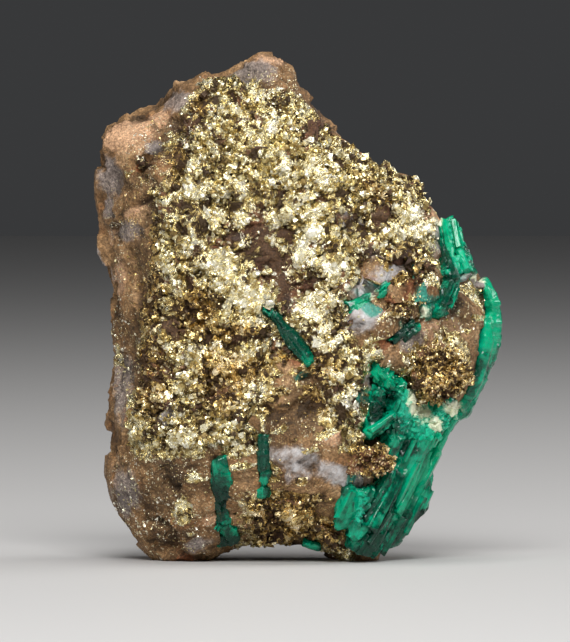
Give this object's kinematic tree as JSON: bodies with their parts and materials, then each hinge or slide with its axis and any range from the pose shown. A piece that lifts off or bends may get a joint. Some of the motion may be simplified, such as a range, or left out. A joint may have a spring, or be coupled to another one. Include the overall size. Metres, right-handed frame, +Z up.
{
  "type": "emerald specimen",
  "caption": "Upright mineral specimen: green emerald columns and a granular gold pyrite crust on a brown, quartz-veined rock that stands on its own broken base.",
  "frame": {"origin": "on the ground, under the middle of the specimen's box", "axes": "+Z up, +X to the right seen from the pyrite face, -Y out of the pyrite face"},
  "size_m": [0.049, 0.0308, 0.0609],
  "materials": {
    "matrix_rock": "rough, iron-stained",
    "pyrite": "granular, bright metallic facets",
    "emerald": "glassy, cloudy green"
  },
  "bodies": {
    "root": {"matrix": "matrix_rock", "pyrite_crust": "pyrite", "pyrite_lower_crust": "pyrite", "pyrite_nodule": "pyrite", "pyrite_knob": "pyrite", "pyrite_left_cluster": "pyrite", "pyrite_pocket_cluster": "pyrite", "emerald_cluster": "emerald", "emerald_upper": "emerald", "emerald_centre_blade": "emerald", "emerald_left": "emerald", "emerald_sliver": "emerald", "emerald_pocket_teal": "emerald", "emerald_pocket_green": "emerald", "emerald_pocket_light": "emerald", "emerald_pocket_lens": "emerald", "emerald_chip": "emerald"}
  },
  "joints": []
}
